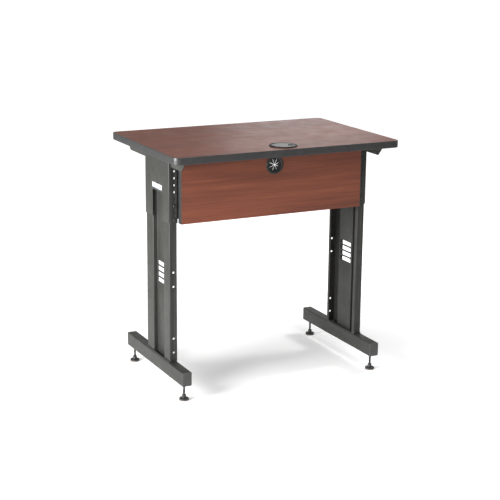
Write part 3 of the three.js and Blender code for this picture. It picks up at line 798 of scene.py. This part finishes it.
BEAM_WALL, BEAM_CORNER, LEVELLER_Y, STUD_HOLE = 2.5, 3.5, 0.239, 0.0055
CABLE_WAY = {"inner": 0.395, "outer": 0.407, "front": -0.084, "rear": 0.0055, "corner": 0.002}
BASE_BOLT_X, BASE_BOLT_FRONT, BASE_BOLT_REAR, BASE_BOLT_HOLE = 0.395, -0.114, 0.04, 0.004
for side, k in SIDES.items():
    low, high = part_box(f"foot_beam_{side}")
    loops = [tube_loop(low, high, 0, low.y, BEAM_CORNER), tube_loop(low, high, 0, high.y, BEAM_CORNER),
             tube_loop(low, high, BEAM_WALL, high.y, 1), tube_loop(low, high, BEAM_WALL, low.y, 1)]
    beam = new_piece(f"foot_beam_{side}_tube", loft("beam", loops, around=True), powder_coat)
    way = sorted((k * CABLE_WAY["inner"], k * CABLE_WAY["outer"]))
    opening = rounded_rectangle(way[0], CABLE_WAY["front"], way[1], CABLE_WAY["rear"], CABLE_WAY["corner"])
    cutters = [row_of(prism(opening, "Z", high.z - 0.01, high.z + 0.01), (0, 0, 0))]
    for y in (BASE_BOLT_FRONT, BASE_BOLT_REAR):
        bolt_hole = prism(circle(BASE_BOLT_HOLE), "Z", high.z - 0.01, high.z + 0.01)
        cutters.append(row_of(bolt_hole, (k * BASE_BOLT_X, y, 0)))
    for y in (-LEVELLER_Y, LEVELLER_Y):
        middle = (low.x + high.x) / 2
        cutters.append(row_of(prism(circle(STUD_HOLE), "Z", low.z - 0.01, low.z + 0.01), (middle, y, 0)))
    cut(beam, *cutters)
    finish(soften(beam, 0.25), f"{side}_leg", "charcoal_powder_coat", f"foot_beam_{side}")
    for end, direction in ENDS.items():
        cap_low, cap_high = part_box(f"beam_cap_{end}_{side}")
        tip = cap_low.y if direction < 0 else cap_high.y
        steps = [(5.3, 1.8, 0.5), (5.3, 16.2, 0.5), (2.8, 16.2, 1), (2.8, 2.2, 1), (0, 2.2, 3.5), (0, 1.2, 3.5),
                 (0.25, 0.5, 3.5), (0.7, 0.15, 3.5), (1.3, 0, 3.2)]
        rings = [tube_loop(cap_low, cap_high, inset, tip - direction * depth * MM, corner)
                 for inset, depth, corner in steps]
        cap = new_piece(f"beam_cap_{end}_{side}_moulded", loft("cap", rings), cap_abs)
        finish(smooth(cap), f"{side}_leg", "black_plastic", f"beam_cap_{end}_{side}")
    print(beam.name, len(beam.data.polygons), "faces, caps", len(cap.data.polygons))

# %% [markdown]
# ## Levelling feet
# Each foot is a nylon hub moulded over a rubber pad, on a threaded stud. The pad is one turned profile, and
# its lower faces are given the rubber. The thread is a rule, so Geometry Nodes makes it: a smooth rod's
# points are drawn in by the height of a triangle wave that climbs one pitch for each turn.


# %% Levelling feet
def move(mesh, place):
    mesh.transform(Matrix.Translation(place))
    return mesh


def arc(centre_r, centre_z, radius, start, end, steps=4):
    """Points of a rounded corner for a turned profile, in millimetres, its angles in degrees."""
    angles = [math.radians(start + (end - start) * k / steps) for k in range(steps + 1)]
    return [(centre_r + radius * math.cos(a), centre_z + radius * math.sin(a)) for a in angles]


def in_metres(points):
    return [(r * MM, z * MM) for r, z in points]


PAD_PROFILE = (
    [(0, 0), (17.6, 0)] + arc(17.4, 1.0, 1.0, -90, 0) + [(18.4, 3.2)] + arc(18.0, 3.2, 0.4, 0, 90)
    + [(17.7, 3.9)] + arc(16.5, 7.2, 1.2, 0, 80) + [(9.8, 9.4)] + arc(9.6, 10.6, 1.2, -100, -170)
    + [(6.9, 21.2)] + arc(6.1, 21.2, 0.8, 0, 90) + [(4.35, 22), (4.35, 6), (0, 6)]
)


def make_thread_tree():
    tree, given = new_tree("threaded_rod", {
        "Radius": ("Float", 0.004), "Length": ("Float", 0.05), "Pitch": ("Float", 0.00125),
        "Depth": ("Float", 0.0006), "Sides": ("Int", 20), "Rows": ("Int", 320), "Finish": ("Material", None),
    })
    rod = add(tree, "GeometryNodeMeshCylinder", {"fill_type": "NGON"}, Vertices=given["Sides"],
              Side_Segments=given["Rows"], Radius=given["Radius"], Depth=given["Length"]).outputs["Mesh"]
    position = add(tree, "GeometryNodeInputPosition").outputs["Position"]
    parts = add(tree, "ShaderNodeSeparateXYZ", None, Vector=position).outputs
    turns = add(tree, "ShaderNodeMath", {"operation": "ARCTAN2"}, i0=parts["Y"], i1=parts["X"]).outputs[0]
    turns = add(tree, "ShaderNodeMath", {"operation": "DIVIDE"}, i0=turns, i1=2 * math.pi).outputs[0]
    climb = add(tree, "ShaderNodeMath", {"operation": "DIVIDE"}, i0=parts["Z"], i1=given["Pitch"]).outputs[0]
    phase = add(tree, "ShaderNodeMath", {"operation": "SUBTRACT"}, i0=climb, i1=turns).outputs[0]
    wave = add(tree, "ShaderNodeMath", {"operation": "PINGPONG"}, i0=phase, i1=0.5).outputs[0]
    depth = add(tree, "ShaderNodeMath", {"operation": "MULTIPLY"}, i0=wave, i1=given["Depth"]).outputs[0]
    share = add(tree, "ShaderNodeMath", {"operation": "DIVIDE"}, i0=depth, i1=given["Radius"]).outputs[0]
    shrink = add(tree, "ShaderNodeMath", {"operation": "MULTIPLY_ADD"}, i0=share, i1=-2.0, i2=1.0).outputs[0]
    scale = add(tree, "ShaderNodeCombineXYZ", None, X=shrink, Y=shrink, Z=1.0).outputs["Vector"]
    target = add(tree, "ShaderNodeVectorMath", {"operation": "MULTIPLY"}, i0=position, i1=scale).outputs[0]
    cut_rod = add(tree, "GeometryNodeSetPosition", None, Geometry=rod, Position=target).outputs["Geometry"]
    return end_tree(tree, cut_rod, given["Finish"])


thread_tree = make_thread_tree()
RUBBER_TOP, SOCKET_RADIUS = 3.85 * MM, 5 * MM
ROW_STEP = 0.21 * MM  # about six rows of points for each turn of the thread
for side, k in SIDES.items():
    for end in ENDS:
        pad_low, pad_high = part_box(f"leveller_pad_{end}_{side}")
        centre = (pad_low + pad_high) / 2
        ground = Vector((centre.x, centre.y, 0))
        pad_mesh = move(turned("pad", in_metres(PAD_PROFILE), 40), ground)
        pad = new_piece(f"leveller_pad_{end}_{side}_moulded", pad_mesh, black_nylon, foot_rubber)
        for face in pad.data.polygons:
            outside = (face.center - ground).xy.length > SOCKET_RADIUS
            face.material_index = 1 if outside and face.center.z < RUBBER_TOP else 0
        finish(smooth(pad), f"leveller_pad_{end}_{side}", "black_plastic", f"leveller_pad_{end}_{side}")
        stud_low, stud_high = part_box(f"leveller_stud_{end}_{side}")
        stud = run_tree(f"leveller_stud_{end}_{side}_threaded", thread_tree, Length=stud_high.z - stud_low.z,
                        Rows=round((stud_high.z - stud_low.z) / ROW_STEP), Finish=zinc)
        move(stud.data, (stud_low + stud_high) / 2)
        finish(stud, f"leveller_stud_{end}_{side}", "zinc_steel", f"leveller_stud_{end}_{side}")
print("pad faces:", len(pad.data.polygons), "stud faces:", len(stud.data.polygons))

# %% [markdown]
# ## Bolts and screws
# The fasteners are cold headed: a domed head with a hexagon socket. One shape is made for each kind, and
# one Geometry Nodes tree puts it on every seat, turned so that its head looks along the seat's aim. All
# those on one body become one mesh, because they move together.


# %% Fasteners
def socket_screw(shank, length, head, height, across):
    """A screw with its seat at z = 0 and its head above, in millimetres."""
    profile = [(0, -length), (shank - 0.4, -length), (shank, -length + 0.4), (shank, 0), (head - 0.3, 0)]
    profile += arc(head - 0.3, 0.3, 0.3, -90, 0, 3) + [(head, height * 0.45)]
    profile += arc(head * 0.62, height * 0.45, head * 0.38, 0, 90, 6)[1:-1]
    profile = [(r, min(z, height)) for r, z in profile]
    profile += [(head * 0.6, height), (0, height)]
    screw = new_piece("screw", turned("screw", in_metres(profile), 32))
    socket_mesh = prism(circle(across / math.sqrt(3) * MM, 6), "Z", height * 0.35 * MM, (height + 1) * MM)
    return cut(screw, new_piece("socket", socket_mesh))


def make_fastener_tree():
    tree, given = new_tree("fasteners_on_seats", {"Shape": ("Object", None), "Finish": ("Material", None)})
    aim = add(tree, "GeometryNodeInputNamedAttribute", {"data_type": "FLOAT_VECTOR"}, Name="aim")
    turn = add(tree, "FunctionNodeAlignRotationToVector", {"axis": "Z"}, Vector=aim.outputs["Attribute"])
    shape = add(tree, "GeometryNodeObjectInfo", None, Object=given["Shape"])
    copies = add(tree, "GeometryNodeInstanceOnPoints", None, Points=given["Geometry"],
                 Instance=shape.outputs["Geometry"], Rotation=turn.outputs["Rotation"])
    return end_tree(tree, copies.outputs["Instances"], given["Finish"])


fastener_tree = make_fastener_tree()


def fasten(name, body, shape, head_mm, seats):
    """seats maps each CAD node to the way its head looks. The seat is one head height below the node's top."""
    points, aims = [], []
    for node, aim in seats.items():
        low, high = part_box(node)
        aim = Vector(aim)
        points.append((low + high) / 2 + aim * (abs((high - low).dot(aim)) / 2 - head_mm * MM))
        aims += list(aim)
    mesh = bpy.data.meshes.new(name)
    mesh.from_pydata(points, [], [])
    mesh.attributes.new("aim", "FLOAT_VECTOR", "POINT").data.foreach_set("vector", aims)
    piece = run_tree(name, fastener_tree, mesh, Shape=shape, Finish=zinc)
    finish(piece, body, "zinc_steel", *seats)
    print(name, len(seats), "seats,", len(piece.data.polygons), "faces")


height_bolt = socket_screw(3.3, 2.3, 6.2, 3.4, 4.5)
base_bolt = socket_screw(3.6, 14, 7, 4.5, 6)
wood_screw = socket_screw(2, 16, 4.4, 2.4, 3)
fasten("height_bolts", "table", height_bolt, 3.4, {
    f"height_bolt_{end}_{level}_{side}": (0, way, 0)
    for side in SIDES for end, way in ENDS.items() for level in ("upper", "lower")
})
for side in SIDES:
    fasten(f"base_bolts_{side}", f"{side}_leg", base_bolt, 4.5,
           {f"base_bolt_{end}_{side}": (0, 0, 1) for end in ENDS})
screws = {f"arm_screw_{end}_{side}": (0, 0, -1) for side in SIDES for end in ENDS}
screws.update({f"panel_screw_{level}_{side}": (0, 1, 0) for side in SIDES for level in ("lower", "upper")})
fasten("wood_screws", "table", wood_screw, 2.4, screws)
for shape in (height_bolt, base_bolt, wood_screw):
    bpy.data.objects.remove(shape)

# %% [markdown]
# ## The desk grommet
# A liner stands in the board's hole on its flange, and a cap drops inside the rim and turns there to close
# its cable notch. Both are turned, with soft corners where the mould was polished. The notch is cut by a
# boolean.

# %% Desk grommet
liner_low, liner_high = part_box("desk_grommet_liner")
grommet = Vector(((liner_low.x + liner_high.x) / 2, (liner_low.y + liner_high.y) / 2, top_high.z))
LINER_PROFILE = (
    [(37.3, -22), (39.7, -22), (39.7, 0.3)] + arc(51.6, 0.7, 0.4, -90, 0, 3) + arc(49.4, 0.8, 2.6, 0, 90, 6)
    + [(46.5, 3.4)] + arc(44.7, 2.7, 0.6, 90, 180, 3) + [(43.8, 1.2), (37.3, 1.2)]
)
liner_mesh = move(turned("liner", in_metres(LINER_PROFILE), 96), grommet)
# The liner's darker colour is painted shade for the gap round the cap.
liner = new_piece("desk_grommet_liner_moulded", liner_mesh, ring_abs_painted_shade)
finish(smooth(liner), "table", "black_plastic", "desk_grommet_liner")
CAP_PROFILE = (
    [(0, 1.5), (35.0, 1.5), (35.0, -8), (36.8, -8), (36.8, 1.5), (43.0, 1.5)] + arc(42.6, 1.9, 0.8, -60, 60, 4)
    + [(40.6, 3.05), (36, 3.0), (30, 2.9), (20, 2.85), (0, 2.8)]
)
cap = new_piece("desk_grommet_cap_moulded", turned("cap", in_metres(CAP_PROFILE), 96), black_abs)
NOTCH_INNER, NOTCH_OUTER, NOTCH_HALF, NOTCH_CORNER, CAP_TURN = 0.0164, 0.0373, 0.011, 0.004, -0.35
notch_outline = rounded_rectangle(NOTCH_INNER, -NOTCH_HALF, NOTCH_OUTER, NOTCH_HALF, NOTCH_CORNER)
notch = prism(notch_outline, "Z", -0.01, 0.01)
cut(cap, row_of(notch, (0, 0, 0)))
cap.data.transform(Matrix.Translation(grommet) @ Matrix.Rotation(CAP_TURN, 4, "Z"))
finish(soften(cap, 0.3), "desk_grommet_cap", "black_plastic", "desk_grommet_cap")
print("grommet at", [round(v / MM, 1) for v in grommet], "mm")

# %% [markdown]
# ## The panel grommet
# A black ring holds a rubber disc that is slit into eight petals, and cables push through the middle. One
# petal is built as a closed eighth of the disc, without its outer side walls. Geometry Nodes turns it eight
# times and merges the eighths, so the rim is whole and only the slits stay open.


# %% Panel grommet
ring_low, ring_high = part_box("panel_grommet_ring")
STAR = Vector(((ring_low.x + ring_high.x) / 2, panel_low.y, (ring_low.z + ring_high.z) / 2))
FACE_FRONT = Matrix.Translation(STAR) @ Matrix.Rotation(math.pi / 2, 4, "X")
RING_PROFILE = (
    [(27.7, -22), (29.7, -22), (29.7, 0.3)] + arc(35.2, 0.6, 0.3, -90, 0, 3) + arc(33.5, 0.7, 2.0, 0, 90, 5)
    + [(29.6, 2.7)] + arc(28.6, 1.2, 1.5, 80, 150, 4) + [(26.3, 1.6), (26.3, 0.6), (27.7, 0.6)]
)
ring = new_piece("panel_grommet_ring_moulded", turned("ring", in_metres(RING_PROFILE), 72), black_abs)
ring.data.transform(FACE_FRONT)
finish(smooth(ring), "table", "black_plastic", "panel_grommet_ring")

PETALS, SLIT_HALF, SLIT_END, BEYOND_SLIT, RIM, TIP = 8, 0.65, 22.0, 25.0, 27.4, 3.0
PETAL_ROWS = 6


def petal_mesh(columns=6, thickness=1.0, lift=0.6):
    """One eighth of the disc, in millimetres until the end, with its tip lifted a little towards the front."""
    rows = [(TIP + (SLIT_END - TIP) * i / PETAL_ROWS, True) for i in range(PETAL_ROWS + 1)]
    rows += [(SLIT_END, False), (BEYOND_SLIT, False), (RIM, False)]
    bm = bmesh.new()

    def row(radius, slit, z):
        half = math.pi / PETALS - (math.asin(SLIT_HALF / radius) if slit else 0)
        rise = lift * max(0, (SLIT_END - radius) / (SLIT_END - TIP)) ** 2
        angles = [half * (2 * j / columns - 1) for j in range(columns + 1)]
        return [bm.verts.new((radius * math.cos(a), radius * math.sin(a), z + rise)) for a in angles]

    tops = [row(radius, slit, 0.3) for radius, slit in rows]
    bottoms = [row(radius, slit, 0.3 - thickness) for radius, slit in rows]
    for grid in (tops, bottoms):
        for a, b in zip(grid, grid[1:]):
            for j in range(columns):
                bm.faces.new((a[j], a[j + 1], b[j + 1], b[j]))
    for j in range(columns):
        bm.faces.new((tops[0][j], tops[0][j + 1], bottoms[0][j + 1], bottoms[0][j]))
        bm.faces.new((tops[-1][j], tops[-1][j + 1], bottoms[-1][j + 1], bottoms[-1][j]))
    for i in range(PETAL_ROWS + 1):
        for j in (0, columns):
            bm.faces.new((tops[i][j], tops[i + 1][j], bottoms[i + 1][j], bottoms[i][j]))
    bmesh.ops.scale(bm, vec=(MM, MM, MM), verts=bm.verts)
    bmesh.ops.recalc_face_normals(bm, faces=bm.faces)
    mesh = bpy.data.meshes.new("petal")
    bm.to_mesh(mesh)
    bm.free()
    return mesh


def make_petal_tree():
    tree, given = new_tree("petals_round_a_disc", {
        "Shape": ("Object", None), "Petals": ("Int", 8), "Finish": ("Material", None),
    })
    points = add(tree, "GeometryNodePoints", None, Count=given["Petals"]).outputs[0]
    index = add(tree, "GeometryNodeInputIndex").outputs["Index"]
    share = add(tree, "ShaderNodeMath", {"operation": "DIVIDE"}, i0=index, i1=given["Petals"]).outputs[0]
    angle = add(tree, "ShaderNodeMath", {"operation": "MULTIPLY"}, i0=share, i1=2 * math.pi).outputs[0]
    turn = add(tree, "ShaderNodeCombineXYZ", None, Z=angle).outputs["Vector"]
    shape = add(tree, "GeometryNodeObjectInfo", None, Object=given["Shape"])
    copies = add(tree, "GeometryNodeInstanceOnPoints", None, Points=points, Instance=shape.outputs["Geometry"],
                 Rotation=turn)
    return end_tree(tree, copies.outputs["Instances"], given["Finish"])


petal = new_piece("petal", petal_mesh())
star = run_tree("panel_grommet_petals", make_petal_tree(), Shape=petal, Petals=PETALS, Finish=petal_rubber)
bpy.data.objects.remove(petal)
bm = bmesh.new()
bm.from_mesh(star.data)
bmesh.ops.remove_doubles(bm, verts=bm.verts, dist=2e-6)
bmesh.ops.recalc_face_normals(bm, faces=bm.faces)
bm.to_mesh(star.data)
bm.free()
star.data.transform(FACE_FRONT)
finish(smooth(star), "table", "rubber", "panel_grommet_diaphragm")
print("petal faces:", len(star.data.polygons), "materials:", [m.name for m in star.data.materials])

# %% [markdown]
# ## The sticker, the brackets, the base plates and the nuts
# The sticker is film with rounded corners. The brackets, base plates and nuts are plain pressed parts whose
# CAD shapes are right, so those nodes stay, and only get their finish.

# %% Sticker and plain steel parts
tag_low, tag_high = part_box("height_label")
tag_outline = rounded_rectangle(tag_low.y, tag_low.z, tag_high.y, tag_high.z, 0.0015, 4)
tag = new_piece("height_label_film", prism(tag_outline, "X", tag_low.x, tag_high.x), sticker)
finish(soften(tag, 0.15), "table", "paper_label", "height_label")

for side in SIDES:
    plain = {f"panel_bracket_{side}": powder_coat, f"column_base_plate_{side}": powder_coat,
             f"leveller_nut_front_{side}": zinc, f"leveller_nut_rear_{side}": zinc}
    for node, material in plain.items():
        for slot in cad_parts[node].material_slots:
            slot.material = material
